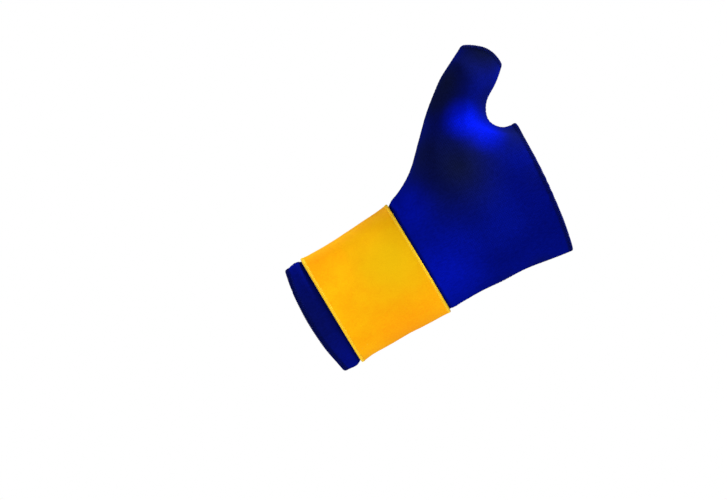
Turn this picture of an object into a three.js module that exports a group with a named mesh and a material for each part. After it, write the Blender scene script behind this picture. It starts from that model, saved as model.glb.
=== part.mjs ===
import * as THREE from "three";

// Thumb spica splint for a left hand: a pull-on neoprene sleeve with a thumb tube, a wide
// strap wrapped once round the wrist, and the hook tab that closes the strap on the back.
// Millimetres. +X runs along the forearm to the hand, +Z to the thumb side and -Y out of the
// palm. The origin is the middle of the wrist, halfway along the strap.

// Strap and hook tab
const strapWidth = 58.6;
const strapThickness = 1.6;
const strapOverlap = 46;
const closureShift = 6;
const strapEndCorner = 9;
const strapClearance = 0.45;
const layerClearance = 0.4;
const climbLength = 8;
const tabLength = 34;
const tabWidth = 47;
const tabThickness = 1;
const tabUnderStrap = 17;
const tabCorner = 7;

// Sleeve
const wall = 3;
const wristBreadth = 65;
const wristDepth = 42;
const wristOffset = -0.5;
const cuffLength = 11;
const cuffBow = 3.7;
const palmLength = 83;
const handBreadth = 81;
const handDepth = 35;
const handOffset = -2.3;
const handSlant = 6.7;
const handBow = 1.8;
const webSetback = 12.5;
const webRise = 9.5;
const webDepth = 24;
const thumbLength = 26;
const thumbBreadth = 27.4;
const thumbDepth = 26;
const thumbTilt = 24;
const thumbBow = 4.2;
const webFlare = 9.4;
const thenarHeight = 5.5;

const degree = Math.PI / 180;

// Sections of the wrist, from the cuff's rim to the strap's far edge. side -1 or 1 picks the
// strap's edge that a row is measured from, along is a share of cuffLength past that edge,
// breadth and depth are shares of the wrist's, and bow is a share of cuffBow.
const wristSections = [
  { side: -1, along: 1.0, breadth: 1.03, depth: 1.06, bow: 1 },
  { side: -1, along: 0.25, breadth: 1.045, depth: 1.055, bow: 0.25 },
  { side: -1, along: -0.3, breadth: 1.0, depth: 1.0, bow: 0.05 },
  { side: 0, along: 0, breadth: 0.995, depth: 0.985, bow: 0 },
  { side: 1, along: -0.3, breadth: 1.045, depth: 1.03, bow: 0 },
];

// Sections from the strap to the fork of the thumb. along is a share of palmLength for the
// little finger's edge, lead the share by which the thumb's edge runs ahead of it. ulnar and
// radial say how far each edge has moved from the wrist to the hand opening and to the thumb.
// palmar and dorsal are shares of half the wrist's depth, bow is a share of palmLength.
const palmSections = [
  { along: 0.04, lead: 0.0, ulnar: 0.18, radial: 0.08, palmar: 1.1, dorsal: 1.05, bow: 0.0 },
  { along: 0.22, lead: 0.01, ulnar: 0.24, radial: 0.25, palmar: 1.14, dorsal: 1.03, bow: 0.0 },
  { along: 0.42, lead: 0.05, ulnar: 0.36, radial: 0.655, palmar: 1.1, dorsal: 0.98, bow: 0.02 },
];

// The last section before the fork, in the same columns. Its thumb edge is the thumb's root.
const forkSection = { along: 0.66, ulnar: 0.58, palmar: 0.94, dorsal: 0.88, bow: 0.075 };

// Sections of the thumb tube from the fork to its rim. inner and outer give each edge's
// distance back from the rim as a share of thumbLength, innerOut and outerOut its distance
// from the tube's axis as a share of half the thumb's breadth, depth is a share of
// thumbDepth, and lean is the axis's shift to the back as a share of thumbDepth.
const thumbSections = [
  { inner: 0.7, outer: 0.62, innerOut: 1.2, outerOut: 0.965, depth: 1.09, lean: -0.1, bow: 0.4 },
  { inner: 0.34, outer: 0.28, innerOut: 1.09, outerOut: 0.99, depth: 1.03, lean: -0.04, bow: 0.7 },
  { inner: -0.165, outer: 0.0, innerOut: 0.86, outerOut: 1.0, depth: 1.0, lean: 0.04, bow: 1 },
];
const thumbRoot = { back: 1.18, out: 0.86 };

// The web: how far its flanks lie from the fork towards its edge, as a share, and how far it
// dips below the straight line to the hand opening, halfway along it: its edge back by a share
// of webSetback and down by one of webRise, and its two flanks further down.
const webShoulder = 0.62;
const webDip = { back: 0.1, down: 0.34, flank: 0.5 };

// The rims bow less on the back: the share of the palm side's bow that the back has.
const backBow = { cuff: 0.5, thumb: 0.3 };

// Soft mounds and hollows of the palm side. along is a share of palmLength from the strap,
// across a share of handBreadth from the origin, the radii are shares of the same sizes, and
// height is a share of thenarHeight.
const mounds = [
  { name: "thumb ball", along: 0.44, across: 0.38, length: 0.32, breadth: 0.24, height: 1.0 },
  { name: "heel of the hand", along: 0.46, across: -0.27, length: 0.34, breadth: 0.15, height: 0.45 },
  { name: "palm hollow", along: 0.83, across: 0.02, length: 0.2, breadth: 0.2, height: -0.4 },
];

// Shares of a section's breadth and depth at its points, from the little finger's edge over
// the palm side to the thumb's edge. The fork's points crowd towards the thumb.
const ringSteps = 12;
const forkShares = [0, 0.067, 0.25, 0.5, 0.77, 0.915, 1];
const thumbSteps = 8;
const wristRoundness = 2.25;
const handRoundness = 2.35;
const thumbRoundness = 2.05;
const smoothings = 2;
const fittingPasses = 14;

// The bands: the step between their cross lines, and the lines along them as shares of half
// their width
const bandStep = 3.7;
const strapLines = [-1, -0.87, -0.3, 0.3, 0.87, 1];
const tabLines = [-1, -0.5, 0.5, 1];

// Places that several pieces share
const strapEdge = strapWidth / 2;
const wristUlnar = wristOffset - wristBreadth / 2;
const wristRadial = wristOffset + wristBreadth / 2;
const handMiddle = new THREE.Vector3(strapEdge + palmLength, 0, handOffset);
const handAcross = new THREE.Vector3(Math.sin(handSlant * degree), 0, Math.cos(handSlant * degree));
const handTop = handMiddle.clone().addScaledVector(handAcross, handBreadth / 2);
const handBottom = handMiddle.clone().addScaledVector(handAcross, -handBreadth / 2);
const web = handTop.clone().add(new THREE.Vector3(-webSetback, 0, webRise));
const thumbAlong = new THREE.Vector3(Math.cos(thumbTilt * degree), 0, Math.sin(thumbTilt * degree));
const thumbAcross = new THREE.Vector3(-thumbAlong.z, 0, thumbAlong.x);
const thumbRim = web
  .clone()
  .addScaledVector(thumbAlong, thumbLength)
  .addScaledVector(thumbAcross, thumbBreadth / 2 + webFlare);
const thumbRootEdge = thumbRim
  .clone()
  .addScaledVector(thumbAlong, -thumbRoot.back * thumbLength)
  .addScaledVector(thumbAcross, (thumbRoot.out * thumbBreadth) / 2);

const mix = (a, b, share) => a + (b - a) * share;

// A closed section through two edge points: half its points lie on the palm side, half on
// the back. shares places them between the edges, and bow pushes the middle along a direction.
function section(low, high, palmar, dorsal, options) {
  const { steps, roundness, bowAlong, shares, bow = 0, bowOnBack = bow, shift = 0 } = options;
  const points = [];
  for (let step = 0; step < steps; step += 1) {
    const angle = (step * 2 * Math.PI) / steps;
    const onBack = step > steps / 2;
    const share = shares ? shares[onBack ? steps - step : step] : (1 - Math.cos(angle)) / 2;
    const swell = Math.abs(Math.sin(angle));
    const depth = Math.pow(swell, 2 / roundness) * (onBack ? dorsal : -palmar);
    const point = low.clone().lerp(high, share);
    point.addScaledVector(bowAlong, swell * swell * (onBack ? bowOnBack : bow));
    point.y += depth + shift;
    points.push(point);
  }
  return points;
}

function wristSection(row) {
  const x = row.side * (strapEdge + row.along * cuffLength);
  const half = (row.breadth * wristBreadth) / 2;
  const low = new THREE.Vector3(x, 0, wristOffset - half);
  const high = new THREE.Vector3(x, 0, wristOffset + half);
  const depth = (row.depth * wristDepth) / 2;
  return section(low, high, depth, depth, {
    steps: ringSteps,
    roundness: wristRoundness,
    bow: -row.bow * cuffBow,
    bowOnBack: -row.bow * cuffBow * backBow.cuff,
    bowAlong: new THREE.Vector3(1, 0, 0),
  });
}

function thumbEdge(row) {
  const x = strapEdge + (row.along + row.lead) * palmLength;
  return new THREE.Vector3(x, 0, mix(wristRadial, thumbRootEdge.z, row.radial));
}

function palmSection(row, high, shares) {
  const x = strapEdge + row.along * palmLength;
  const low = new THREE.Vector3(x, 0, mix(wristUlnar, handBottom.z, row.ulnar));
  return section(low, high, (row.palmar * wristDepth) / 2, (row.dorsal * wristDepth) / 2, {
    steps: ringSteps,
    roundness: mix(wristRoundness, handRoundness, row.along),
    bow: row.bow * palmLength,
    bowAlong: new THREE.Vector3(1, 0, 0),
    shares,
  });
}

function handOpening() {
  return section(handBottom, handTop, handDepth / 2, handDepth / 2, {
    steps: ringSteps,
    roundness: handRoundness,
    bow: handBow,
    bowAlong: new THREE.Vector3(1, 0, 0),
  });
}

function thumbSection(row) {
  const place = (back, out) =>
    thumbRim
      .clone()
      .addScaledVector(thumbAlong, -back * thumbLength)
      .addScaledVector(thumbAcross, (out * thumbBreadth) / 2);
  const depth = (row.depth * thumbDepth) / 2;
  return section(place(row.inner, -row.innerOut), place(row.outer, row.outerOut), depth, depth, {
    steps: thumbSteps,
    roundness: thumbRoundness,
    bow: row.bow * thumbBow,
    bowOnBack: row.bow * thumbBow * backBow.thumb,
    bowAlong: thumbAlong,
    shift: row.lean * thumbDepth,
  });
}

// The coarse net of the sleeve's outside: rings along the wrist and palm, then a fork whose
// seam runs over the web, with a ring round the hand on one side and round the thumb on the
// other. The seam has three points of its own between the fork ring's points 4 and 8.
function sleeveNet() {
  const points = [];
  const quads = [];
  const add = (ring) => ring.map((point) => points.push(point) - 1);
  const join = (near, far) => {
    near.forEach((corner, step) => {
      const next = (step + 1) % near.length;
      quads.push([corner, far[step], far[next], near[next]]);
    });
  };

  let last = null;
  for (const row of wristSections) {
    const ring = add(wristSection(row));
    if (last) {
      join(last, ring);
    }
    last = ring;
  }
  for (const row of palmSections) {
    const ring = add(palmSection(row, thumbEdge(row)));
    join(last, ring);
    last = ring;
  }
  const fork = add(palmSection(forkSection, thumbRootEdge, forkShares));
  join(last, fork);

  const palmJoint = points[fork[4]];
  const backJoint = points[fork[8]];
  const nearWeb = palmJoint.clone().lerp(web, webShoulder);
  nearWeb.y = -webDepth / 2;
  const farWeb = backJoint.clone().lerp(web, webShoulder);
  farWeb.y = webDepth / 2;
  const seam = add([nearWeb, web.clone(), farWeb]);

  const handStart = [...fork.slice(0, 5), ...seam, ...fork.slice(8)];
  const rim = handOpening();
  const between = rim.map((point, step) => points[handStart[step]].clone().lerp(point, 0.5));
  between[6].x -= webDip.back * webSetback;
  between[6].z -= webDip.down * webRise;
  between[5].z -= webDip.flank * webRise;
  between[7].z -= webDip.flank * webRise;
  const handMid = add(between);
  const handRim = add(rim);
  join(handStart, handMid);
  join(handMid, handRim);

  // Round the thumb the points start at the web and pass over the palm side to the outer edge.
  let tube = [seam[1], seam[0], fork[4], fork[5], fork[6], fork[7], fork[8], seam[2]];
  for (const row of thumbSections) {
    const ring = add(thumbSection(row));
    join(tube, ring);
    tube = ring;
  }
  return { points, quads };
}

// One step of Catmull-Clark smoothing. The old points keep their places in the list, and open
// edges follow their own curve.
function smooth({ points, quads }) {
  const facePoints = quads.map((quad) =>
    quad.reduce((sum, corner) => sum.add(points[corner]), new THREE.Vector3()).divideScalar(4),
  );
  const edges = new Map();
  const edgeKey = (a, b) => (a < b ? `${a}_${b}` : `${b}_${a}`);
  quads.forEach((quad, face) => {
    quad.forEach((corner, side) => {
      const next = quad[(side + 1) % 4];
      const key = edgeKey(corner, next);
      if (!edges.has(key)) {
        edges.set(key, { ends: [corner, next], faces: [] });
      }
      edges.get(key).faces.push(face);
    });
  });

  const around = points.map(() => ({ faces: new THREE.Vector3(), edges: new THREE.Vector3(), count: 0 }));
  const rimAround = points.map(() => ({ sum: new THREE.Vector3(), count: 0 }));
  const edgePoints = [];
  for (const edge of edges.values()) {
    const [a, b] = edge.ends;
    const middle = points[a].clone().add(points[b]).multiplyScalar(0.5);
    edge.place = points.length + edgePoints.length;
    if (edge.faces.length === 1) {
      edgePoints.push(middle);
      rimAround[a].sum.add(points[b]);
      rimAround[b].sum.add(points[a]);
      rimAround[a].count += 1;
      rimAround[b].count += 1;
    } else {
      const [left, right] = edge.faces.map((face) => facePoints[face]);
      edgePoints.push(left.clone().add(right).add(points[a]).add(points[b]).multiplyScalar(0.25));
    }
    around[a].edges.add(middle);
    around[b].edges.add(middle);
  }
  quads.forEach((quad, face) => {
    for (const corner of quad) {
      around[corner].faces.add(facePoints[face]);
      around[corner].count += 1;
    }
  });

  const moved = points.map((point, corner) => {
    if (rimAround[corner].count === 2) {
      return point.clone().multiplyScalar(0.75).addScaledVector(rimAround[corner].sum, 0.125);
    }
    const n = around[corner].count;
    return point
      .clone()
      .multiplyScalar((n - 3) / n)
      .addScaledVector(around[corner].faces, 1 / (n * n))
      .addScaledVector(around[corner].edges, 2 / (n * n));
  });
  const faceStart = points.length + edgePoints.length;
  const finer = [];
  quads.forEach((quad, face) => {
    const side = quad.map((corner, step) => edges.get(edgeKey(corner, quad[(step + 1) % 4])).place);
    quad.forEach((corner, step) => {
      finer.push([corner, side[step], faceStart + face, side[(step + 3) % 4]]);
    });
  });
  return { points: [...moved, ...edgePoints, ...facePoints], quads: finer };
}

function smoothed(net) {
  let result = net;
  for (let pass = 0; pass < smoothings; pass += 1) {
    result = smooth(result);
  }
  return result;
}

// Smoothing pulls a net inwards, so the net is pushed out until the smooth surface passes
// through the points that the sections gave.
function smoothThrough(net) {
  const pushed = net.points.map((point) => point.clone());
  for (let pass = 0; pass < fittingPasses; pass += 1) {
    const surface = smoothed({ points: pushed, quads: net.quads });
    pushed.forEach((point, place) => {
      point.add(net.points[place]).sub(surface.points[place]);
    });
  }
  return smoothed({ points: pushed, quads: net.quads });
}

function pointNormals({ points, quads }) {
  const normals = points.map(() => new THREE.Vector3());
  for (const quad of quads) {
    const across = points[quad[2]].clone().sub(points[quad[0]]);
    const along = points[quad[3]].clone().sub(points[quad[1]]);
    const normal = across.cross(along);
    quad.forEach((corner) => normals[corner].add(normal));
  }
  return normals.map((normal) => normal.normalize());
}

function raiseMounds(surface) {
  const normals = pointNormals(surface);
  surface.points.forEach((point, place) => {
    const facing = Math.max(0, -normals[place].y);
    for (const mound of mounds) {
      const along = (point.x - strapEdge - mound.along * palmLength) / (mound.length * palmLength);
      const across = (point.z - mound.across * handBreadth) / (mound.breadth * handBreadth);
      const fall = Math.exp(-along * along - across * across);
      point.y -= mound.height * thenarHeight * fall * facing;
    }
  });
}

function solid(points, triangles) {
  const geometry = new THREE.BufferGeometry();
  const flat = points.flatMap((point) => [point.x, point.y, point.z]);
  geometry.setAttribute("position", new THREE.Float32BufferAttribute(flat, 3));
  geometry.setIndex(triangles.flat());
  geometry.computeVertexNormals();
  return geometry;
}

const split = ([a, b, c, d]) => [[a, b, c], [a, c, d]];

// A wall of even thickness inside the surface, closed by a flat band round each open rim.
function sleeveGeometry(surface) {
  const normals = pointNormals(surface);
  const inside = surface.points.map((point, place) => point.clone().addScaledVector(normals[place], -wall));
  const shift = surface.points.length;
  const triangles = [];
  const open = new Map();
  for (const quad of surface.quads) {
    triangles.push(...split(quad));
    triangles.push(...split([...quad].reverse().map((corner) => corner + shift)));
    quad.forEach((corner, side) => {
      const next = quad[(side + 1) % 4];
      if (!open.delete(`${next}_${corner}`)) {
        open.set(`${corner}_${next}`, [corner, next]);
      }
    });
  }
  for (const [a, b] of open.values()) {
    triangles.push(...split([b, a, a + shift, b + shift]));
  }
  return solid([...surface.points, ...inside], triangles);
}

// Where the sleeve's outside lies round the wrist: a line from the wrist's axis is met with
// the surface. The angle starts at the back of the wrist and grows towards the thumb.
function wristFinder(surface) {
  const reach = strapEdge + cuffLength;
  const faces = surface.quads
    .filter((quad) => quad.every((corner) => Math.abs(surface.points[corner].x) < reach + cuffBow))
    .flatMap(split);
  const ray = new THREE.Ray();
  const hit = new THREE.Vector3();
  const onSleeve = (x, angle) => {
    ray.origin.set(x, 0, wristOffset);
    ray.direction.set(0, Math.cos(angle), Math.sin(angle));
    for (const [a, b, c] of faces) {
      if (ray.intersectTriangle(surface.points[a], surface.points[b], surface.points[c], false, hit)) {
        return hit.clone();
      }
    }
    throw new Error("the wrist section has a gap");
  };
  const nearby = 3 * degree;
  return (x, angle, lift) => {
    const before = onSleeve(x, angle - nearby);
    const after = onSleeve(x, angle + nearby);
    const run = after.sub(before).normalize();
    const outward = new THREE.Vector3(0, run.z, -run.y);
    return onSleeve(x, angle).addScaledVector(outward, lift);
  };
}

// Angles at even steps of length round the wrist, from one length to another. Length 0 is the
// middle of the back.
function anglesAlong(wrapPoint, from, to, step) {
  const marks = 180;
  const lengths = [0];
  let last = wrapPoint(0, 0, 0);
  for (let mark = 1; mark <= marks; mark += 1) {
    const point = wrapPoint(0, (mark * 2 * Math.PI) / marks, 0);
    lengths.push(lengths[mark - 1] + point.distanceTo(last));
    last = point;
  }
  const girth = lengths[marks];
  const angleAt = (length) => {
    const turns = Math.floor(length / girth);
    const rest = length - turns * girth;
    const mark = Math.min(marks - 1, lengths.findIndex((value) => value > rest) - 1);
    const share = (rest - lengths[mark]) / (lengths[mark + 1] - lengths[mark]);
    return 2 * Math.PI * (turns + (mark + share) / marks);
  };
  const start = from(girth);
  const end = to(girth);
  const steps = Math.round((end - start) / step);
  return Array.from({ length: steps + 1 }, (_, place) => {
    const length = mix(start, end, place / steps);
    return { angle: angleAt(length), toEnd: end - length };
  });
}

// A band laid round the wrist. lift is the height of its underside over the sleeve, and
// halfWidth its half width, both at a place along it.
function bandGeometry(wrapPoint, places, columns, lift, halfWidth, thickness) {
  const points = [];
  for (const raise of [0, thickness]) {
    for (const place of places) {
      for (const column of columns) {
        const x = column * halfWidth(place);
        points.push(wrapPoint(x, place.angle, lift(place) + raise));
      }
    }
  }
  const width = columns.length;
  const top = places.length * width;
  const triangles = [];
  for (let row = 0; row < places.length - 1; row += 1) {
    for (let column = 0; column < width - 1; column += 1) {
      const a = row * width + column;
      const quad = [a, a + 1, a + width + 1, a + width];
      triangles.push(...split(quad));
      triangles.push(...split([...quad].reverse().map((corner) => corner + top)));
    }
    for (const [near, far] of [[row * width, (row + 1) * width], [(row + 2) * width - 1, (row + 1) * width - 1]]) {
      triangles.push(...split([near, far, far + top, near + top]));
    }
  }
  for (let column = 0; column < width - 1; column += 1) {
    const first = column;
    const last = top - width + column;
    triangles.push(...split([first + 1, first, first + top, first + 1 + top]));
    triangles.push(...split([last, last + 1, last + 1 + top, last + top]));
  }
  return solid(points, triangles);
}

// Half the width of a band whose end has round corners, at a distance from that end.
function roundedHalf(width, corner, toEnd) {
  const inset = Math.max(0, corner - toEnd);
  return width / 2 - corner + Math.sqrt(Math.max(0, corner * corner - inset * inset));
}

// The underside's height over the sleeve where a band lies on the strap, and where the strap
// lies on the tab. The strap has climbed to each one step before what it passes over begins.
const overStrap = strapClearance + strapThickness + layerClearance;
const overTab = overStrap + tabThickness + layerClearance;

function strapGeometry(wrapPoint) {
  const start = () => -strapOverlap / 2 - closureShift;
  const end = (girth) => girth + strapOverlap / 2 - closureShift;
  const places = anglesAlong(wrapPoint, start, end, bandStep);
  const climbed = (toGo) => 1 - THREE.MathUtils.smoothstep(toGo, bandStep, bandStep + climbLength);
  const lift = ({ toEnd }) => {
    const onStrap = mix(strapClearance, overStrap, climbed(toEnd - strapOverlap));
    return mix(onStrap, overTab, climbed(toEnd - tabUnderStrap));
  };
  const half = (place) => roundedHalf(strapWidth, strapEndCorner, place.toEnd);
  return bandGeometry(wrapPoint, places, strapLines, lift, half, strapThickness);
}

function tabGeometry(wrapPoint) {
  const start = (girth) => girth + strapOverlap / 2 - closureShift - tabUnderStrap;
  const end = (girth) => start(girth) + tabLength;
  const places = anglesAlong(wrapPoint, start, end, bandStep);
  const half = (place) => roundedHalf(tabWidth, tabCorner, place.toEnd);
  return bandGeometry(wrapPoint, places, tabLines, () => overStrap, half, tabThickness);
}

function piece(name, geometry, colour, roughness) {
  const material = new THREE.MeshStandardMaterial({ color: colour, roughness, metalness: 0 });
  const mesh = new THREE.Mesh(geometry, material);
  mesh.name = name;
  return mesh;
}

const sleeveSurface = smoothThrough(sleeveNet());
raiseMounds(sleeveSurface);
const wrapPoint = wristFinder(sleeveSurface);

const splint = new THREE.Group();
splint.add(piece("sleeve", sleeveGeometry(sleeveSurface), 0x0b1a86, 0.75));
splint.add(piece("strap", strapGeometry(wrapPoint), 0xf7b90c, 0.85));
splint.add(piece("hook_tab", tabGeometry(wrapPoint), 0xe6a80a, 0.8));

export default splint;
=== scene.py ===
import math
import random

import bmesh
import bpy
import numpy as np
from mathutils import Matrix, Vector
from mathutils.bvhtree import BVHTree


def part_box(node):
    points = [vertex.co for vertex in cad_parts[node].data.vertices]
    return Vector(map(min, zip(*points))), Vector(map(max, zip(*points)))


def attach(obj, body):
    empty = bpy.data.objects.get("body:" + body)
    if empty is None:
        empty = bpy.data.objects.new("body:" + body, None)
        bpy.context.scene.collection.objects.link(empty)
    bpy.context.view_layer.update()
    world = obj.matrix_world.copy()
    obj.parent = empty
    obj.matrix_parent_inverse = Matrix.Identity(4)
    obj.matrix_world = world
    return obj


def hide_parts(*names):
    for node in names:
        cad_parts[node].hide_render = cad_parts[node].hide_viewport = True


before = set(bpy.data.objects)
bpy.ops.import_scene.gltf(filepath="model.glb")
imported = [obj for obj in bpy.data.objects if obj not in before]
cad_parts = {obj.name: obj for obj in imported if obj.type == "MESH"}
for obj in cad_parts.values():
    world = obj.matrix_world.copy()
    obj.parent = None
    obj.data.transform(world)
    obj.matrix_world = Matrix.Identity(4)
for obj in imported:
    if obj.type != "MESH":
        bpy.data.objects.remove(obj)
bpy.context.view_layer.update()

MM = 0.001
BODY = "root"

# Photograph: its size in pixels, the pixel where the origin lies, the scale at the wrist and
# how far the forearm's line is turned from the horizontal
PHOTO_WIDTH = 727
PHOTO_HEIGHT = 500
ORIGIN_PIXEL = (374.7, 283.7)
PIXEL = 0.575 * MM
ROLL = math.radians(31)
CAMERA_DISTANCE = 1.6
SENSOR = 36.0

# Studio: how far below the splint the floor lies, how far it reaches, how many sides it has, the
# share of its radius where it starts to fade, its own glow and the room's light
FLOOR_LEVEL = -1.5
FLOOR_RADIUS = 6.0
FLOOR_SIDES = 96
FLOOR_FADE = 0.45
FLOOR_GLOW = 0.35
ROOM_LIGHT = 0.16

# Lamps: each one's place in metres, width and power, and the point that all of them face
LAMPS = {
    "right": ((1.08, -0.06, 0.46), 0.3, 30),
    "front": ((-0.25, -1.2, 0.05), 0.6, 8.5),
    "left": ((-0.9, -0.6, -0.4), 0.4, 2.2),
    "back_right": ((-0.75, 0.72, 0.75), 0.3, 16),
    "back_left": ((0.8, 1.0, -0.35), 0.6, 2.6),
}
LAMP_TARGET = (0.03, 0, 0.02)

# Sleeve: its wall, the rounding of its cut rims, the angle that tells a rim from a bend, and the
# material number of each region
WALL = 3.0 * MM
RIM_ROUNDING = 0.8 * MM
SHARP = math.radians(50)
WELD = 0.001 * MM
SUBDIVISIONS = 2
OUTSIDE, INSIDE, CORE = 0, 1, 2

# Its relief: the groove along a sewn seam and how much that puckers, the long uneven waves with
# their lengths in millimetres, and the band along the rims where the colour is darker, with the
# width over which it ends
SEAM_GROOVE = 0.4 * MM
SEAM_REACH = 1.5 * MM
SEAM_PUCKER = 0.25
UNEVENNESS = 0.22 * MM
WAVES = 9
WAVE_LENGTHS = (16, 34)
WAVE_SEED = 7
RIM_BAND = 3.4 * MM
RIM_FADE = 1.6 * MM

# The strap squeezes the sleeve: a crease under each of its edges, and a swelling beside it. Over
# the crease's reach the sleeve's colour is darkened as painted shade.
CREASE_REACH = 2.4 * MM
CREASE_DEPTH = 0.15 * MM
SWELLING = 0.35 * MM
SWELLING_AWAY = 4.2 * MM
SWELLING_REACH = 2.6 * MM

# Strap and hook tab, as the solids have them
WRIST_MIDDLE = -0.5 * MM
STRAP_WIDTH = 58.6 * MM
STRAP_THICKNESS = 1.6 * MM
STRAP_OVERLAP = 46 * MM
CLOSURE_SHIFT = 6 * MM
STRAP_CORNER = 9 * MM
STRAP_CLEARANCE = 0.45 * MM
LAYER_CLEARANCE = 0.4 * MM
WRIST_MARKS = 360
BAND_STEP = 3.7 * MM
CLIMB = 8 * MM
TAB_LENGTH = 34 * MM
TAB_THICKNESS = 1.0 * MM
TAB_UNDER_STRAP = 17 * MM
TAB_CORNER = 7 * MM
OVER_LIFT = STRAP_CLEARANCE + STRAP_THICKNESS + LAYER_CLEARANCE
OVERLAP_LIFT = OVER_LIFT + TAB_THICKNESS + LAYER_CLEARANCE

# How finely the bands are made: rows along them, columns across them, and the rounding of their
# long edges, as a share of the thickness, with the angles that it is made of
BAND_ROW = 1.3 * MM
BAND_COLUMNS = 34
CORNER_ROWS = 10
EDGE_ROUND = 0.42
EDGE_ANGLES = [math.radians(turn) for turn in range(90, -91, -30)]

# Threads: their steps and sides, the flat seams, the bound rims, and the rows of stitches
THREAD_STEP = 0.3 * MM
THREAD_SIDES = 5
SEAM_LINE_STEP = 0.6 * MM
SEAM_ENDS = 4
SHORTEST_SEAM = 10
SEAM_HALF = 1.7 * MM
SEAM_PITCH = 2.2 * MM
SEAM_THREAD = 0.17 * MM
EDGE_PITCH = 1.05 * MM
EDGE_DEPTH = 2.8 * MM
EDGE_THREAD = 0.19 * MM
EDGE_SUNK = -0.5
EDGE_RAISED = 0.6
STRAP_EDGE_PITCH = 1.0 * MM
STRAP_EDGE_DEPTH = 1.8 * MM
STRAP_THREAD = 0.13 * MM
STRAP_THREAD_LIFT = 0.45
UNBOUND_CORNER = 0.4
STITCH_LENGTH = 2.4 * MM
STITCH_GAP = 0.7 * MM
STITCH_SINK = 0.35 * MM

# The crossed box on the strap's end and the row round the tab: how far they lie from the edges,
# how wide the row's cut corners are, and where the row comes out from under the strap
BOX_INSET = 4 * MM
BOX_START = 3 * MM
ROW_INSET = 2.5 * MM
ROW_CORNER = 6 * MM
ROW_START = 1 * MM

# Soft round zones of painted light and shade, fixed on the splint: middle and reach in millimetres.
# The strap is painted lemon on its lit front and orange where it turns from the light. The sleeve
# gets painted highlights and painted shade, by the share that ends each line.
STRAP_LIGHT_AND_SHADE = [
    ((15, -26, 8), 38, (236, 190, 6)),
    ((4, -12, -36), 36, (244, 138, 2)),
    ((-26, -16, 28), 24, (248, 146, 1)),
]
STRAP_LIGHT_AND_SHADE_SHARE = 0.8
PAINTED_HIGHLIGHTS = [
    ((90, -18, 56), 15, 0.65), ((95, -17, 47), 17, 0.32), ((98, -15, 38), 14, 0.35),
    ((36, -22, -16), 36, 0.3), ((38, -20, 26), 22, 0.25), ((96, 18, -18), 34, 0.35),
    ((66, 20, 38), 24, 0.3), ((40, 22, -16), 24, 0.25),
]
PAINTED_SHADE = [
    ((74, -22, 32), 40, 0.95), ((62, -8, 48), 28, 0.85), ((82, -4, 73), 26, 0.9),
    ((94, -10, 80), 28, 0.95), ((124, -10, 84), 30, 1.0), ((109, -4, 58), 17, 0.8),
    ((113, -6, 30), 20, 0.9), ((112, -10, 6), 18, 0.35), ((66, 0, -39), 14, 0.5),
    ((88, 0, -39), 14, 0.6), ((-46, 0, 0), 46, 0.98), ((72, 22, 6), 34, 0.5),
    ((100, 12, 56), 24, 0.5),
]

# Soft folds of the stretched neoprene, in millimetres: where each starts and ends in x and z,
# the side it is on (-1 palm, 1 back), its half width and its height (below 0 a dent). A fold
# rises from its ends by the power FOLD_TAPER and fades towards the other side by SIDE_FADE.
FOLD_TAPER = 1.2
SIDE_FADE = 1.6
FOLDS = [
    {"start": (99, 46), "end": (74, 34), "side": -1, "half": 5.0, "height": 0.7},
    {"start": (101, 41), "end": (80, 24), "side": -1, "half": 5.5, "height": -0.6},
    {"start": (95, 52), "end": (86, 66), "side": -1, "half": 4.5, "height": -0.5},
    {"start": (31, 30), "end": (52, 38), "side": -1, "half": 4.0, "height": -0.6},
    {"start": (32, 22), "end": (58, 30), "side": -1, "half": 5.0, "height": 0.5},
    {"start": (32, -20), "end": (60, -29), "side": -1, "half": 4.5, "height": -0.5},
    {"start": (34, -6), "end": (62, -13), "side": -1, "half": 6.0, "height": 0.4},
    {"start": (92, -34), "end": (110, -12), "side": -1, "half": 5.0, "height": -0.45},
    {"start": (84, -30), "end": (104, -8), "side": -1, "half": 5.0, "height": 0.4},
    {"start": (102, 42), "end": (66, 14), "side": 1, "half": 5.0, "height": -1.3},
    {"start": (98, 52), "end": (64, 32), "side": 1, "half": 4.5, "height": 0.8},
    {"start": (32, 14), "end": (62, 32), "side": 1, "half": 5.5, "height": -0.9},
    {"start": (32, 3), "end": (60, 13), "side": 1, "half": 5.0, "height": 0.5},
    {"start": (32, -14), "end": (68, -26), "side": 1, "half": 6.0, "height": -0.8},
]


def smooth_mesh(name, verts, faces, materials=()):
    mesh = bpy.data.meshes.new(name)
    mesh.from_pydata([tuple(v) for v in verts], [], faces)
    mesh.validate()
    mesh.update()
    mesh.shade_smooth()
    for material in materials:
        mesh.materials.append(material)
    piece = bpy.data.objects.new(name, mesh)
    bpy.context.scene.collection.objects.link(piece)
    return piece


def seat(piece, slot, *nodes):
    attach(piece, BODY)
    if nodes:
        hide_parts(*nodes)


# Materials
def linear(red, green, blue):
    """A colour given as 0 to 255 in sRGB, for a shader."""
    parts = []
    for value in (red, green, blue):
        share = value / 255
        parts.append(share / 12.92 if share <= 0.04045 else ((share + 0.055) / 1.055) ** 2.4)
    return (*parts, 1.0)


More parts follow.
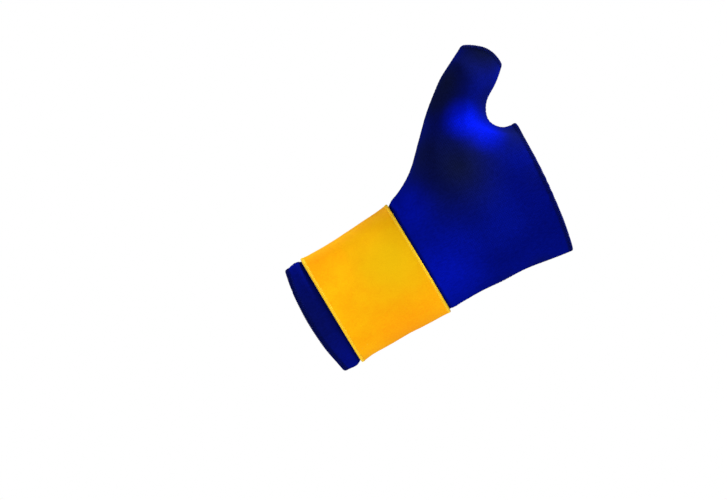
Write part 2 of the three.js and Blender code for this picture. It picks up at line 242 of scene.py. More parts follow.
class Shader:
    """A Principled material and short calls for the nodes that feed it."""

    def __init__(self, name, roughness, sheen=0.0, sheen_tint=None, specular=0.4):
        self.material = bpy.data.materials.new(name)
        self.material.use_nodes = True
        self.tree = self.material.node_tree
        self.shader = self.tree.nodes["Principled BSDF"]
        self.shader.inputs["Roughness"].default_value = roughness
        self.shader.inputs["Sheen Weight"].default_value = sheen
        self.shader.inputs["Sheen Roughness"].default_value = 0.4
        self.shader.inputs["Specular IOR Level"].default_value = specular
        if sheen_tint:
            self.shader.inputs["Sheen Tint"].default_value = sheen_tint
        self.place = self.node("ShaderNodeTexCoord").outputs["Object"]

    def node(self, kind, **settings):
        node = self.tree.nodes.new(kind)
        for key, value in settings.items():
            setattr(node, key, value)
        return node

    def link(self, source, target):
        self.tree.links.new(source, target)

    def fill(self, socket, value):
        if hasattr(value, "is_linked"):
            self.link(value, socket)
        else:
            socket.default_value = value

    def maths(self, operation, first, second=0.0, third=0.0):
        node = self.node("ShaderNodeMath", operation=operation)
        for socket, value in zip(node.inputs, (first, second, third)):
            self.fill(socket, value)
        return node.outputs[0]

    def split(self, vector):
        return self.node_from(vector, "ShaderNodeSeparateXYZ").outputs

    def node_from(self, vector, kind, **settings):
        node = self.node(kind, **settings)
        self.link(vector, node.inputs[0])
        return node

    def stretch(self, scale):
        node = self.node("ShaderNodeMapping")
        self.link(self.place, node.inputs["Vector"])
        node.inputs["Scale"].default_value = scale
        return node.outputs[0]

    def noise(self, scale, detail=2.0, roughness=0.5, vector=None):
        node = self.node("ShaderNodeTexNoise")
        self.link(vector or self.place, node.inputs["Vector"])
        node.inputs["Scale"].default_value = scale
        node.inputs["Detail"].default_value = detail
        node.inputs["Roughness"].default_value = roughness
        return node.outputs["Fac"]

    def ramp(self, value, low, high):
        node = self.node("ShaderNodeMapRange", clamp=True)
        for key, setting in {"Value": value, "From Min": low, "From Max": high}.items():
            self.fill(node.inputs[key], setting)
        return node.outputs[0]

    def blend(self, share, first, second):
        node = self.node("ShaderNodeMix", data_type="RGBA")
        self.fill(node.inputs["Factor"], share)
        self.fill(node.inputs[6], first)
        self.fill(node.inputs[7], second)
        return node.outputs[2]

    def tint(self, base, mask, share, hue):
        """base with hue laid over it where mask is 1, by share at most."""
        return self.blend(self.maths("MULTIPLY", mask, share), base, hue)

    def near(self, centre, reach):
        """1 at a place on the object, falling softly to 0 at reach."""
        offset = self.node_from(self.place, "ShaderNodeVectorMath", operation="DISTANCE")
        offset.inputs[1].default_value = [value * MM for value in centre]
        distance = offset.outputs["Value"]
        falling = self.node_from(distance, "ShaderNodeMapRange", interpolation_type="SMOOTHSTEP")
        falling.inputs["From Min"].default_value = reach * MM
        falling.inputs["From Max"].default_value = 0.0
        return falling.outputs[0]

    def bump(self, height, distance, strength=1.0):
        node = self.node("ShaderNodeBump")
        node.inputs["Distance"].default_value = distance
        node.inputs["Strength"].default_value = strength
        self.link(height, node.inputs["Height"])
        normal = self.shader.inputs["Normal"]
        if normal.is_linked:
            self.link(normal.links[0].from_socket, node.inputs["Normal"])
        self.link(node.outputs[0], normal)

    def colour(self, value):
        self.fill(self.shader.inputs["Base Color"], value)

    def roughness(self, value):
        self.fill(self.shader.inputs["Roughness"], value)


def knit_height(look, wale, course):
    """Rows of knit loops that run along the sleeve. Near the sewn edges, where the cloth faces
    the thumb or the little finger, they turn over into rows counted front to back."""
    x, y, z = look.split(look.place)
    facing = look.split(look.node("ShaderNodeNewGeometry").outputs["Normal"])["Z"]
    leaning = 2.2
    loop_share = 0.35
    turn_from, turn_to = 0.62, 0.86

    def rows(across):
        wales = look.maths("MULTIPLY", across, math.pi / wale)
        rib = look.maths("ABSOLUTE", look.maths("SINE", wales))
        lean = look.maths("MULTIPLY", look.maths("ABSOLUTE", look.maths("COSINE", wales)), leaning)
        loops = look.maths("SINE", look.maths("MULTIPLY_ADD", x, 2 * math.pi / course, lean))
        return look.maths("MULTIPLY_ADD", loops, loop_share, rib)

    turned = look.ramp(look.maths("ABSOLUTE", facing), turn_from, turn_to)
    mixed = look.node("ShaderNodeMix")
    look.fill(mixed.inputs[0], turned)
    look.fill(mixed.inputs[2], rows(z))
    look.fill(mixed.inputs[3], rows(y))
    return mixed.outputs[0]


def neoprene_face():
    look = Shader("neoprene_face", 0.5, sheen=0.1, sheen_tint=linear(0, 30, 255), specular=0.0)
    broad = look.ramp(look.noise(26, 3.0, 0.55), 0.3, 0.7)
    base = look.blend(broad, linear(2, 10, 104), linear(3, 12, 116))
    # Painted shade: dark navy zones laid over the sleeve's colour
    for centre, reach, share in PAINTED_SHADE:
        base = look.tint(base, look.near(centre, reach), share, linear(10, 15, 36))
    # Painted highlights: bright blue zones laid over the sleeve's colour
    for centre, reach, share in PAINTED_HIGHLIGHTS:
        base = look.tint(base, look.near(centre, reach), share, linear(2, 20, 215))
    # Painted shade: the colour darkens in a band along each of the strap's edges, over the crease
    # it presses in
    across = look.maths("ABSOLUTE", look.split(look.place)["X"])
    from_edge = look.maths("ABSOLUTE", look.maths("SUBTRACT", across, STRAP_WIDTH / 2))
    base = look.tint(base, look.ramp(from_edge, CREASE_REACH, 0.0), 0.75, linear(3, 5, 24))
    # The colour is darker along the rims, over the band that mark_rims stores
    rim = look.node("ShaderNodeAttribute", attribute_name="rim").outputs["Fac"]
    base = look.tint(base, rim, 0.6, linear(4, 7, 36))
    fibre = look.noise(1100, 2.0, 0.6, look.stretch((0.4, 1, 1)))
    flecks = look.maths("MULTIPLY", look.ramp(fibre, 0.35, 0.75), 0.4)
    lighter = look.node_from(base, "ShaderNodeVectorMath", operation="SCALE")
    lighter.inputs["Scale"].default_value = 1.9
    look.colour(look.blend(flecks, base, lighter.outputs["Vector"]))
    look.roughness(look.maths("MULTIPLY_ADD", look.noise(70, 2.0), 0.25, 0.38))
    look.bump(look.noise(120, 2.0, 0.5), 0.2 * MM, 0.3)
    look.bump(knit_height(look, 0.95 * MM, 1.15 * MM), 0.09 * MM, 0.7)
    return look.material


def lining():
    look = Shader("lining", 0.9, sheen=0.05, sheen_tint=linear(20, 40, 150), specular=0.0)
    look.colour(look.blend(look.noise(60, 3.0), linear(12, 15, 46), linear(20, 25, 74)))
    look.bump(knit_height(look, 0.75 * MM, 0.9 * MM), 0.08 * MM, 0.8)
    return look.material


def foam_core():
    look = Shader("foam_core", 0.95, specular=0.02)
    cells = look.node("ShaderNodeTexVoronoi")
    look.link(look.place, cells.inputs["Vector"])
    cells.inputs["Scale"].default_value = 2600
    look.colour(look.blend(cells.outputs["Distance"], linear(16, 18, 34), linear(34, 38, 66)))
    look.bump(cells.outputs["Distance"], 0.1 * MM, 0.7)
    return look.material


def strap_cloth():
    look = Shader("strap_cloth", 0.85, sheen=0.1, sheen_tint=linear(255, 190, 30), specular=0.05)
    patches = look.ramp(look.noise(95, 4.0, 0.62, look.stretch((1.0, 1.0, 1.6))), 0.3, 0.72)
    base = look.blend(patches, linear(248, 160, 1), linear(250, 178, 3))
    # Painted light and shade on the strap: lemon on its lit front, orange where it turns from the
    # light
    for centre, reach, hue in STRAP_LIGHT_AND_SHADE:
        base = look.tint(base, look.near(centre, reach), STRAP_LIGHT_AND_SHADE_SHARE, linear(*hue))
    across = look.maths("ABSOLUTE", look.split(look.place)["X"])
    edge = STRAP_WIDTH / 2
    # A paler yellow strip along the long edges: partly the binding's own paler colour, partly
    # painted highlight where the rounded edge catches the light
    binding_and_highlight = look.ramp(across, edge - 1.9 * MM, edge - 0.9 * MM)
    base = look.tint(base, binding_and_highlight, 0.7, linear(252, 212, 34))
    nap = look.noise(1500, 3.0, 0.7)
    tufts = look.maths("MULTIPLY", look.ramp(nap, 0.35, 0.75), 0.45)
    look.colour(look.blend(tufts, base, linear(255, 204, 14)))
    look.roughness(look.maths("MULTIPLY_ADD", nap, 0.25, 0.7))
    look.bump(look.noise(260, 3.0, 0.6), 0.3 * MM, 0.35)
    look.bump(nap, 0.16 * MM, 0.75)
    return look.material


def hook_tape():
    look = Shader("hook_tape", 0.55, sheen=0.1, specular=0.4)
    rib_pitch = 1.6 * MM
    along = look.maths("MULTIPLY", look.split(look.place)["X"], 2 * math.pi / rib_pitch)
    ribs = look.maths("SINE", along)
    look.colour(look.blend(look.noise(120, 3.0), linear(214, 146, 10), linear(238, 172, 20)))
    look.bump(ribs, 0.06 * MM, 0.7)
    look.bump(look.noise(1400, 2.0), 0.06 * MM, 0.5)
    return look.material


def thread(name, dark, light):
    look = Shader(name, 0.6, specular=0.03)
    ply_pitch = 0.35 * MM
    x, y, z = look.split(look.place)
    plies = look.maths("ADD", look.maths("ADD", x, y), z)
    twist = look.maths("SINE", look.maths("MULTIPLY", plies, 2 * math.pi / ply_pitch))
    look.colour(look.blend(look.ramp(twist, -1.0, 1.0), dark, light))
    look.bump(twist, 0.05 * MM, 0.6)
    return look.material


NEOPRENE = neoprene_face()
LINING = lining()
FOAM = foam_core()
STRAP_CLOTH = strap_cloth()
HOOK_TAPE = hook_tape()
NAVY_THREAD = thread("navy_thread", linear(3, 8, 62), linear(7, 18, 104))
YELLOW_THREAD = thread("yellow_thread", linear(250, 202, 30), linear(255, 230, 96))


# Sleeve
def sleeve_quads():
    """The sleeve's solid as welded quads, its faces marked outside, inside or cut edge."""
    work = bmesh.new()
    work.from_mesh(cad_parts["sleeve"].data)
    bmesh.ops.remove_doubles(work, verts=work.verts, dist=WELD)
    bmesh.ops.join_triangles(
        work, faces=work.faces[:], angle_face_threshold=SHARP, angle_shape_threshold=math.pi,
    )
    bmesh.ops.recalc_face_normals(work, faces=work.faces[:])
    regions = []
    seen = set()
    for start in work.faces:
        if start in seen:
            continue
        region = []
        queue = [start]
        seen.add(start)
        while queue:
            face = queue.pop()
            region.append(face)
            for edge in face.edges:
                for other in edge.link_faces:
                    if other not in seen and edge.calc_face_angle() < SHARP:
                        seen.add(other)
                        queue.append(other)
        regions.append(region)
    regions.sort(key=lambda region: -sum(face.calc_area() for face in region))
    for place, region in enumerate(regions):
        for face in region:
            face.material_index = min(place, CORE)
    return work


def rounded_rims(work):
    """Rounds the cut rims. The rounding takes the material of the side that it lies on."""
    rims = [edge for edge in work.edges if edge.calc_face_angle() > SHARP]
    made = bmesh.ops.bevel(
        work, geom=rims, offset=RIM_ROUNDING, segments=2, profile=0.5, affect="EDGES",
        clamp_overlap=True,
    )
    strips = set(made["faces"])
    while strips:
        for face in list(strips):
            others = {other for edge in face.edges for other in edge.link_faces} - strips
            around = {other.material_index for other in others}
            for fabric in (OUTSIDE, INSIDE):
                if fabric in around:
                    face.material_index = fabric
                    strips.discard(face)


def subdivided(work, levels):
    mesh = bpy.data.meshes.new("rough")
    work.to_mesh(mesh)
    rough = bpy.data.objects.new("rough", mesh)
    bpy.context.scene.collection.objects.link(rough)
    modifier = rough.modifiers.new("smooth", "SUBSURF")
    modifier.levels = levels
    modifier.render_levels = levels
    view = bpy.context.evaluated_depsgraph_get()
    smooth = bpy.data.meshes.new_from_object(rough.evaluated_get(view))
    bpy.data.objects.remove(rough)
    bpy.data.meshes.remove(mesh)
    return smooth


def read_points(mesh):
    flat = np.empty(len(mesh.vertices) * 3)
    mesh.vertices.foreach_get("co", flat)
    return flat.reshape(-1, 3)


def read_normals(mesh):
    flat = np.empty(len(mesh.vertices) * 3)
    mesh.vertex_normals.foreach_get("vector", flat)
    return flat.reshape(-1, 3)


def tree_of(mesh, region=None):
    """A search tree of the faces of one region, or of all of them."""
    chosen = [face for face in mesh.polygons if region in (None, face.material_index)]
    corners = [vertex.co for vertex in mesh.vertices]
    return BVHTree.FromPolygons(corners, [tuple(face.vertices) for face in chosen])


def chains(edges):
    """Joins edges, given as pairs of vertex numbers, into runs of vertices."""
    near = {}
    for a, b in edges:
        near.setdefault(a, []).append(b)
        near.setdefault(b, []).append(a)
    runs = []
    left = set(near)
    starts = [vertex for vertex in near if len(near[vertex]) == 1] + list(near)
    for start in starts:
        if start not in left:
            continue
        run = [start]
        left.discard(start)
        while True:
            step = next((other for other in near[run[-1]] if other in left), None)
            if step is None:
                break
            run.append(step)
            left.discard(step)
        runs.append(run)
    return runs


def even_steps(points, step, closed=False):
    """Points at even distances along a line."""
    points = np.asarray(points, dtype=float)
    if closed:
        points = np.vstack([points, points[:1]])
    lengths = np.concatenate([[0], np.cumsum(np.linalg.norm(np.diff(points, axis=0), axis=1))])
    count = max(3, round(lengths[-1] / step))
    marks = np.linspace(0, lengths[-1], count + 1)
    if closed:
        marks = marks[:-1]
    return np.column_stack([np.interp(marks, lengths, points[:, axis]) for axis in range(3)])


def seam_lines(mesh):
    """The sewn edges of the two panels: the outside cut by the plane between palm and back."""
    work = bmesh.new()
    work.from_mesh(mesh)
    hidden = [face for face in work.faces if face.material_index != OUTSIDE]
    bmesh.ops.delete(work, geom=hidden, context="FACES")
    everything = work.verts[:] + work.edges[:] + work.faces[:]
    cut = bmesh.ops.bisect_plane(
        work, geom=everything, plane_co=(0, 0, 0), plane_no=(0, 1, 0), dist=WELD / 10,
    )
    edges = [item for item in cut["geom_cut"] if isinstance(item, bmesh.types.BMEdge)]
    work.verts.index_update()
    work.verts.ensure_lookup_table()
    runs = chains([(edge.verts[0].index, edge.verts[1].index) for edge in edges])
    long_runs = [run for run in runs if len(run) > SHORTEST_SEAM]
    lines = [[work.verts[vertex].co[:] for vertex in run] for run in long_runs]
    work.free()
    return [even_steps(line, SEAM_LINE_STEP) for line in lines]


def near_line(points, line):
    """Distance of each point to a line of close points, and how far along the line it is."""
    best = np.full(len(points), 1.0)
    along = np.zeros(len(points))
    step = np.linalg.norm(line[1] - line[0])
    for place, spot in enumerate(line):
        distance = np.linalg.norm(points - spot, axis=1)
        closer = distance < best
        best[closer] = distance[closer]
        along[closer] = place * step
    return best, along


def fold_height(points, normals):
    """How far the folds lift each point."""
    total = np.zeros(len(points))
    for fold in FOLDS:
        start = np.array(fold["start"]) * MM
        run = np.array(fold["end"]) * MM - start
        length = np.linalg.norm(run)
        offset = points[:, [0, 2]] - start
        along = offset @ run / length ** 2
        across = (offset[:, 0] * run[1] - offset[:, 1] * run[0]) / length / (fold["half"] * MM)
        ends = np.clip(np.sin(np.pi * np.clip(along, 0, 1)), 0, 1) ** FOLD_TAPER
        side = np.clip(fold["side"] * normals[:, 1] * SIDE_FADE, 0, 1)
        total += fold["height"] * MM * ends * np.exp(-across ** 2) * side
    return total


def squeezed(points):
    """How far the strap presses each point in, or lifts it beside its edges."""
    beside = np.abs(points[:, 0]) - STRAP_WIDTH / 2
    swelling = SWELLING * np.exp(-((beside - SWELLING_AWAY) / SWELLING_REACH) ** 2)
    return swelling - CREASE_DEPTH * np.exp(-(beside / (CREASE_REACH / 2)) ** 2)


def slow_waves(points):
    """Even, seeded unevenness made of a few long waves."""
    waves = random.Random(WAVE_SEED)
    total = np.zeros(len(points))
    for _ in range(WAVES):
        direction = np.array([waves.uniform(-1, 1) for _ in range(3)])
        direction /= np.linalg.norm(direction)
        length = waves.uniform(*WAVE_LENGTHS) * MM
        phase = waves.uniform(0, 2 * math.pi)
        total += np.sin(points @ direction * 2 * math.pi / length + phase)
    return total / WAVES ** 0.5


def mark_rims(mesh, points):
    """Stores for the material how near each point is to a sewn rim: 1 on its band, 0 past it."""
    nearness = np.zeros(len(points))
    for loop in rim_loops(mesh)[OUTSIDE]:
        distance, _ = near_line(points, even_steps(loop, 1.0 * MM, closed=True))
        nearness = np.maximum(nearness, np.clip((RIM_BAND - distance) / RIM_FADE, 0, 1))
    marks = mesh.attributes.new("rim", "FLOAT", "POINT")
    marks.data.foreach_set("value", nearness)


def dress_sleeve():
    """The sleeve's shell with its relief. Gives the piece and the lines of its sewn seams."""
    work = sleeve_quads()
    rounded_rims(work)
    mesh = subdivided(work, SUBDIVISIONS)
    work.free()
    lines = seam_lines(mesh)
    points = read_points(mesh)
    normals = read_normals(mesh)
    inside = np.zeros(len(points), dtype=bool)
    for face in mesh.polygons:
        if face.material_index == INSIDE:
            inside[list(face.vertices)] = True
    outward = np.where(inside[:, None], -normals, normals)
    height = fold_height(points, outward) + UNEVENNESS * slow_waves(points)
    height += np.where(inside, 0, squeezed(points))
    for line in lines:
        distance, along = near_line(points, line)
        pucker = 1 + SEAM_PUCKER * np.sin(along * 2 * math.pi / SEAM_PITCH)
        groove = SEAM_GROOVE * pucker * np.exp(-(distance / SEAM_REACH) ** 2)
        height -= np.where(inside, 0, groove)
    for face in mesh.polygons:
        if face.material_index == CORE:
            height[list(face.vertices)] = 0.0
    moved = points + outward * height[:, None]
    mesh.vertices.foreach_set("co", moved.ravel())
    mark_rims(mesh, points)
    mesh.update()
    mesh.shade_smooth()
    for material in (NEOPRENE, LINING, FOAM):
        mesh.materials.append(material)
    mesh.name = "sleeve_shell"
    piece = bpy.data.objects.new("sleeve_shell", mesh)
    bpy.context.scene.collection.objects.link(piece)
    seat(piece, "neoprene", "sleeve")
    return piece, lines


# Threads
class Threads:
    """Collects many thin tubes into one mesh."""

    def __init__(self, radius):
        self.radius = radius
        self.verts = []
        self.faces = []

    def add(self, points, ups):
        """A tube along points. ups are the surface's normals there."""
        points = np.asarray(points, dtype=float)
        ups = np.asarray(ups, dtype=float)
        runs = np.gradient(points, axis=0)
        runs /= np.linalg.norm(runs, axis=1)[:, None] + 1e-12
        sides = np.cross(runs, ups)
        sides /= np.linalg.norm(sides, axis=1)[:, None] + 1e-12
        tops = np.cross(sides, runs)
        start = len(self.verts)
        count = THREAD_SIDES
        for point, side, top in zip(points, sides, tops):
            for step in range(count):
                angle = 2 * math.pi * step / count
                spot = point + self.radius * (math.cos(angle) * side + math.sin(angle) * top)
                self.verts.append(tuple(spot))
        for place in range(len(points) - 1):
            low = start + place * count
            for step in range(count):
                turn = (step + 1) % count
                self.faces.append((low + step, low + turn, low + count + turn, low + count + step))
        last = start + (len(points) - 1) * count
        self.faces.append(tuple(start + step for step in reversed(range(count))))
        self.faces.append(tuple(last + step for step in range(count)))

    def piece(self, name, material, slot):
        seat(smooth_mesh(name, self.verts, self.faces, [material]), slot)


def line_sides(line, tree):
    """The direction across a line on a surface, at each of its points."""
    before = np.vstack([line[:1], line[:-1]])
    after = np.vstack([line[1:], line[-1:]])
    runs = after - before
    runs /= np.linalg.norm(runs, axis=1)[:, None]
    normals = np.array([tree.find_nearest(Vector(spot))[1][:] for spot in line])
    sides = np.cross(runs, normals)
    return sides / np.linalg.norm(sides, axis=1)[:, None]


def stitch_seam(threads, line, tree):
    """A flat seam: two crossing zigzags between two rows of stitches."""
    line = even_steps(line, THREAD_STEP)
    sides = line_sides(line, tree)
    along = np.arange(len(line)) * THREAD_STEP

    def laid(offsets, rise):
        spots, ups = [], []
        for place, offset in enumerate(offsets):
            near, normal, _, _ = tree.find_nearest(Vector(line[place] + sides[place] * offset))
            spots.append(np.array(near) + np.array(normal) * rise)
            ups.append(normal[:])
        return np.array(spots), np.array(ups)

    for phase, rise in ((0.0, 0.3), (0.5, 0.8)):
        wave = np.abs(((along / SEAM_PITCH + phase) % 1) * 2 - 1) * 2 - 1
        spots, ups = laid(wave * SEAM_HALF, rise * SEAM_THREAD)
        threads.add(spots, ups)
    for edge in (-SEAM_HALF, SEAM_HALF):
        spots, ups = laid(np.full(len(line), edge), 0.6 * SEAM_THREAD)
        stitch = round(SEAM_PITCH / THREAD_STEP)
        for start in range(0, len(line) - stitch, stitch):
            threads.add(spots[start:start + stitch], ups[start:start + stitch])


def rim_loops(mesh):
    """The borders of the cut rims as closed lines, on the outside and on the inside."""
    regions = {}
    for face in mesh.polygons:
        for key in face.edge_keys:
            regions.setdefault(key, []).append(face.material_index)
    points = read_points(mesh)
    borders = {}
    for fabric in (OUTSIDE, INSIDE):
        edges = [key for key, pair in regions.items() if sorted(pair) == [fabric, CORE]]
        borders[fabric] = [points[run] for run in chains(edges)]
    return borders


def rim_profile():
    """One loop of thread over a cut rim: how far out and how high each of its points lies from
    the middle of the rim, and its share of the way to the next loop."""
    half = WALL / 2
    points = [(-EDGE_DEPTH, half, 0.0), (-EDGE_DEPTH * 0.6, half, 0.1)]
    for side, angles, share in ((1, (90, 60, 30, 0), 0.3), (-1, (0, -30, -60, -90), 0.5)):
        for angle in angles:
            turn = math.radians(angle)
            rise = side * half + RIM_ROUNDING * (math.sin(turn) - side)
            points.append((RIM_ROUNDING * (math.cos(turn) - 1), rise, share))
    return points + [(-EDGE_DEPTH * 0.6, -half, 0.7), (-EDGE_DEPTH, -half, 0.9)]


def bind_rim(threads, outer, inner, tree_out, tree_all):
    """Threads looped over a cut rim, from the outside over the edge to the inside."""
    outer = even_steps(outer, EDGE_PITCH, closed=True)
    middle_in = np.array([inner[np.argmin(np.linalg.norm(inner - spot, axis=1))] for spot in outer])
    centres = (outer + middle_in) / 2
    normals = outer - middle_in
    normals /= np.linalg.norm(normals, axis=1)[:, None]
    runs = np.roll(outer, -1, axis=0) - np.roll(outer, 1, axis=0)
    runs /= np.linalg.norm(runs, axis=1)[:, None]
    outs = np.cross(runs, normals)
    inward = outer[0] - outs[0] * EDGE_DEPTH
    near, _, _, _ = tree_out.find_nearest(Vector(inward))
    if np.linalg.norm(np.array(near) - inward) > RIM_ROUNDING * 1.5:
        outs = -outs
    profile = rim_profile()
    slants = np.roll(outer, -1, axis=0) - outer
    for place, centre in enumerate(centres):
        path, ups = [], []
        for step, (out, rise, share) in enumerate(profile):
            spot = centre + outs[place] * out + normals[place] * rise + slants[place] * share
            near, up, _, _ = tree_all.find_nearest(Vector(spot))
            lift = EDGE_SUNK if step in (0, len(profile) - 1) else EDGE_RAISED
            path.append(np.array(near) + np.array(up) * EDGE_THREAD * lift)
            ups.append(up[:])
        threads.add(path, ups)


def sew_sleeve(sleeve, lines):
    """Sews the seams and binds the rims. Gives the search tree of the sleeve's outside."""
    mesh = sleeve.data
    tree_out = tree_of(mesh, OUTSIDE)
    tree_all = tree_of(mesh)
    seams = Threads(SEAM_THREAD)
    for line in lines:
        stitch_seam(seams, line[SEAM_ENDS:-SEAM_ENDS], tree_out)
    seams.piece("sleeve_seams", NAVY_THREAD, "neoprene")
    edges = Threads(EDGE_THREAD)
    borders = rim_loops(mesh)
    for outer in borders[OUTSIDE]:
        middle = outer.mean(axis=0)
        inner = min(borders[INSIDE], key=lambda loop: np.linalg.norm(loop.mean(axis=0) - middle))
        bind_rim(edges, outer, inner, tree_out, tree_all)
    edges.piece("sleeve_edge_threads", NAVY_THREAD, "neoprene")
    return tree_out


# Strap and hook tab
class Wrist:
    """Finds places round the wrist, on the sleeve's outside, by length along the wrap.
    Length 0 is the middle of the back, and lengths grow towards the thumb."""

    def __init__(self, tree):
        self.tree = tree
        angles = np.linspace(0, 2 * math.pi, WRIST_MARKS + 1)
        ring = np.array([self.hit(0.0, angle) for angle in angles])
        steps = np.linalg.norm(np.diff(ring, axis=0), axis=1)
        self.angles = angles
        self.lengths = np.concatenate([[0], np.cumsum(steps)])
        self.girth = self.lengths[-1]

    def hit(self, x, angle):
        """The place on the sleeve at x along it, seen from its middle line at an angle."""
        start = Vector((x, 0, WRIST_MIDDLE))
        spot, _, _, _ = self.tree.ray_cast(start, Vector((0, math.cos(angle), math.sin(angle))))
        return np.array(spot)

    def angle(self, length):
        turns = math.floor(length / self.girth)
        rest = length - turns * self.girth
        return 2 * math.pi * turns + float(np.interp(rest, self.lengths, self.angles))

    def at(self, x, length, lift):
        """The place lifted off the sleeve at x along it and a length round it, and the way out."""
        angle = self.angle(length)
        nearby = math.radians(3)
        before, after = self.hit(x, angle - nearby), self.hit(x, angle + nearby)
        run = (after - before) / np.linalg.norm(after - before)
        outward = np.array([0, run[2], -run[1]])
        return self.hit(x, angle) + outward * lift, outward


def smooth_step(value):
    value = min(1.0, max(0.0, value))
    return value * value * (3 - 2 * value)


def strap_ends(wrist):
    """The lengths round the wrist at which the strap starts and ends."""
    start = -STRAP_OVERLAP / 2 - CLOSURE_SHIFT
    return start, wrist.girth + STRAP_OVERLAP / 2 - CLOSURE_SHIFT


def strap_lift(wrist, length):
    """The strap climbs twice: onto its own start, then onto the hook tab's end."""
    _, end = strap_ends(wrist)

    def climbed(to_go):
        return 1 - smooth_step((to_go - BAND_STEP) / CLIMB)

    lift = STRAP_CLEARANCE
    lift += (OVER_LIFT - STRAP_CLEARANCE) * climbed(end - length - STRAP_OVERLAP)
    lift += (OVERLAP_LIFT - OVER_LIFT) * climbed(end - length - TAB_UNDER_STRAP)
    return lift


def rounded_half(half, corner, to_end):
    """Half a band's width, less where its end is rounded."""
    inset = max(0.0, corner - to_end)
    return half - corner + math.sqrt(max(0.0, corner * corner - inset * inset))


def band_section(thickness):
    """A band's cut: each point's share of the half width, its inset there and its height."""
    round_off = thickness * EDGE_ROUND
    profile = []
    for angle in EDGE_ANGLES:
        inset = round_off * (math.cos(angle) - 1)
        profile.append((1, inset, thickness / 2 + (thickness / 2) * math.sin(angle)))
    across = np.linspace(1, -1, BAND_COLUMNS)[1:-1]
    section = [(share, 0.0, 0.0) for share in across]
    section += [(-share, -inset, thickness - rise) for share, inset, rise in profile]
    section += [(share, 0.0, thickness) for share in across[::-1]]
    return section + profile


def band(name, wrist, start, end, half_width, corner, lift, thickness, materials):
    """A band laid round the wrist, with rounded long edges and a rounded far end."""
    rows = list(np.arange(start, end - corner, BAND_ROW))
    turns = np.linspace(0, math.pi / 2, CORNER_ROWS)
    rows += [end - corner * (1 - math.sin(turn)) for turn in turns]
    section = band_section(thickness)
    verts, faces = [], []
    for length in rows:
        half = rounded_half(half_width, corner, end - length)
        base = lift(length)
        for share, inset, rise in section:
            spot, _ = wrist.at(share * half + inset, length, base + rise)
            verts.append(spot)
    width = len(section)
    for row in range(len(rows) - 1):
        for column in range(width):
            turn = (column + 1) % width
            low = row * width
            faces.append((low + column, low + turn, low + width + turn, low + width + column))
    faces.append(tuple(reversed(range(width))))
    last = (len(rows) - 1) * width
    faces.append(tuple(last + column for column in range(width)))
    piece = smooth_mesh(name, verts, faces, materials)
    work = bmesh.new()
    work.from_mesh(piece.data)
    bmesh.ops.recalc_face_normals(work, faces=work.faces[:])
    work.to_mesh(piece.data)
    work.free()
    return piece


def dress_strap(wrist, half_width):
    start, end = strap_ends(wrist)
    piece = band(
        "strap_band", wrist, start, end, half_width, STRAP_CORNER,
        lambda length: strap_lift(wrist, length), STRAP_THICKNESS, [STRAP_CLOTH],
    )
    seat(piece, "strap_fabric", "strap")


def dress_tab(wrist, half_width):
    _, strap_end = strap_ends(wrist)
    start = strap_end - TAB_UNDER_STRAP
    end = start + TAB_LENGTH
    piece = band(
        "hook_tape", wrist, start, end, half_width, TAB_CORNER,
        lambda length: OVER_LIFT, TAB_THICKNESS, [HOOK_TAPE],
    )
    seat(piece, "hook_fabric", "hook_tab")


def strap_edge_profile():
    """One loop of thread over the strap's edge: how far out and how high each of its points lies,
    and its share of the way to the next loop."""
    lift = STRAP_THREAD * STRAP_THREAD_LIFT
    top = STRAP_THICKNESS + lift
    middle = STRAP_THICKNESS / 2
    round_off = STRAP_THICKNESS * EDGE_ROUND
    points = [(-STRAP_EDGE_DEPTH, top, 0.0), (-STRAP_EDGE_DEPTH / 2, top, 0.12)]
    for angle in EDGE_ANGLES:
        out = (round_off + lift) * math.cos(angle) - round_off
        points.append((out, middle + (middle + lift) * math.sin(angle), 0.3))
    return points


def bind_strap(wrist, half_width):
    """Threads looped over the strap's long edges, to where its end starts to round off."""
    start, end = strap_ends(wrist)
    threads = Threads(STRAP_THREAD)
    profile = strap_edge_profile()
    for side in (-1, 1):
        length = start + STRAP_EDGE_PITCH
        while length < end - STRAP_CORNER * UNBOUND_CORNER:
            half = rounded_half(half_width, STRAP_CORNER, end - length)
            base = strap_lift(wrist, length)
            path, ups = [], []
            for out, rise, share in profile:
                ahead = length + share * STRAP_EDGE_PITCH
                spot, up = wrist.at(side * (half + out), ahead, base + rise)
                path.append(spot)
                ups.append(up)
            threads.add(path, ups)
            length += STRAP_EDGE_PITCH
    return threads


def stitch_row(threads, wrist, row, lift):
    """A row of stitches on the strap or tab, along a list of (x, length)."""
    row = even_steps([(x, length, 0) for x, length in row], THREAD_STEP)
    dash = round(STITCH_LENGTH / THREAD_STEP)
    gap = round(STITCH_GAP / THREAD_STEP)
    for start in range(0, len(row) - dash, dash + gap):
        path, ups = [], []
        for place in range(dash + 1):
            x, length, _ = row[start + place]
            sink = STITCH_SINK * (1 - math.sin(math.pi * place / dash)) ** 2
            spot, up = wrist.at(x, length, lift - sink)
            path.append(spot)
            ups.append(up)
        threads.add(path, ups)


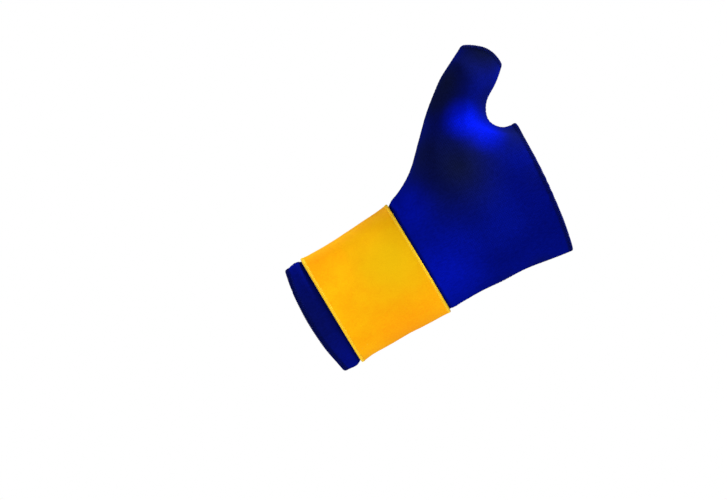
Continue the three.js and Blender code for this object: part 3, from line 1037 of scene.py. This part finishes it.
def sew_strap(wrist, strap_half, tab_half):
    """Binds the strap, sews its end to the tab with a crossed box, and edges the tab."""
    _, end = strap_ends(wrist)
    threads = bind_strap(wrist, strap_half)
    box = tab_half - BOX_INSET
    near, far = end - TAB_UNDER_STRAP + BOX_START, end - BOX_INSET
    corners = [(-box, near), (box, near), (box, far), (-box, far)]
    sides = list(zip(corners, corners[1:] + corners[:1]))
    for row in sides + [(corners[0], corners[2]), (corners[3], corners[1])]:
        stitch_row(threads, wrist, row, OVERLAP_LIFT + STRAP_THICKNESS + STRAP_THREAD / 2)
    threads.piece("strap_threads", YELLOW_THREAD, "strap_fabric")
    tab_threads = Threads(STRAP_THREAD)
    border = tab_half - ROW_INSET
    first = end + ROW_START
    last = end - TAB_UNDER_STRAP + TAB_LENGTH - ROW_INSET
    bend = last - ROW_CORNER
    edging = [
        (-border, first), (-border, bend), (-border + ROW_CORNER, last),
        (border - ROW_CORNER, last), (border, bend), (border, first),
    ]
    stitch_row(tab_threads, wrist, edging, OVER_LIFT + TAB_THICKNESS + STRAP_THREAD / 2)
    tab_threads.piece("tab_threads", YELLOW_THREAD, "hook_fabric")


# Studio
def make_camera():
    """Looks at the palm side along +Y, rolled so that the forearm rises as in the photograph."""
    right = Vector((math.cos(ROLL), 0, -math.sin(ROLL)))
    up = Vector((math.sin(ROLL), 0, math.cos(ROLL)))
    target = right * ((PHOTO_WIDTH / 2 - ORIGIN_PIXEL[0]) * PIXEL)
    target += up * ((ORIGIN_PIXEL[1] - PHOTO_HEIGHT / 2) * PIXEL)
    data = bpy.data.cameras.new("camera")
    data.sensor_width = SENSOR
    data.lens = SENSOR * CAMERA_DISTANCE / (PHOTO_WIDTH * PIXEL)
    data.clip_start = 0.05
    data.clip_end = 40
    camera = bpy.data.objects.new("camera", data)
    bpy.context.scene.collection.objects.link(camera)
    camera.rotation_mode = "QUATERNION"
    back = Vector((0, -1, 0))
    pose = Matrix((right, up, back)).transposed().to_4x4()
    pose.translation = target + back * CAMERA_DISTANCE
    camera.matrix_world = pose
    bpy.context.scene.camera = camera


def make_lamp(name, place, size, power):
    data = bpy.data.lights.new(name, "AREA")
    data.shape = "DISK"
    data.size = size
    data.energy = power
    light = bpy.data.objects.new(name, data)
    bpy.context.scene.collection.objects.link(light)
    light.location = place
    light.rotation_mode = "QUATERNION"
    light.rotation_quaternion = (Vector(LAMP_TARGET) - Vector(place)).to_track_quat("-Z", "Y")


def make_floor():
    """A plain pale floor well below the splint, which is held up. Its rim fades out."""
    turns = np.linspace(0, 2 * math.pi, FLOOR_SIDES + 1)[:-1]
    ring = [(math.cos(turn), math.sin(turn)) for turn in turns]
    verts = [(x * FLOOR_RADIUS, y * FLOOR_RADIUS, FLOOR_LEVEL) for x, y in ring]
    look = Shader("floor_paint", 0.9, specular=0.1)
    look.colour(look.blend(look.noise(6, 2.0), linear(244, 244, 244), linear(250, 250, 250)))
    look.shader.inputs["Emission Color"].default_value = (1, 1, 1, 1)
    look.shader.inputs["Emission Strength"].default_value = FLOOR_GLOW
    length = look.node_from(look.place, "ShaderNodeVectorMath", operation="LENGTH")
    rim = look.ramp(length.outputs["Value"], FLOOR_RADIUS, FLOOR_RADIUS * FLOOR_FADE)
    look.fill(look.shader.inputs["Alpha"], rim)
    floor = smooth_mesh("floor", verts, [tuple(range(len(verts)))], [look.material])


def make_world():
    """A white room that lights the splint softly and shows as white paper behind it."""
    world = bpy.data.worlds.new("studio")
    bpy.context.scene.world = world
    world.use_nodes = True
    tree = world.node_tree
    shown = tree.nodes["Background"]
    shown.inputs["Color"].default_value = (1, 1, 1, 1)
    seen = tree.nodes.new("ShaderNodeLightPath")
    strength = tree.nodes.new("ShaderNodeMapRange")
    tree.links.new(seen.outputs["Is Camera Ray"], strength.inputs["Value"])
    strength.inputs["To Min"].default_value = ROOM_LIGHT
    strength.inputs["To Max"].default_value = 1.0
    tree.links.new(strength.outputs[0], shown.inputs["Strength"])


def make_studio():
    make_floor()
    make_world()
    for name, (place, size, power) in LAMPS.items():
        make_lamp(name, place, size, power)
    bpy.context.scene.view_settings.view_transform = "Standard"
    bpy.context.scene.view_settings.look = "None"


def half_breadth(node):
    """Half of a node's size along the sleeve."""
    low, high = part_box(node)
    return (high[0] - low[0]) / 2


make_camera()
sleeve, seams = dress_sleeve()
outside = sew_sleeve(sleeve, seams)
wrist = Wrist(outside)
strap_half = half_breadth("strap")
tab_half = half_breadth("hook_tab")
dress_strap(wrist, strap_half)
dress_tab(wrist, tab_half)
sew_strap(wrist, strap_half, tab_half)
make_studio()
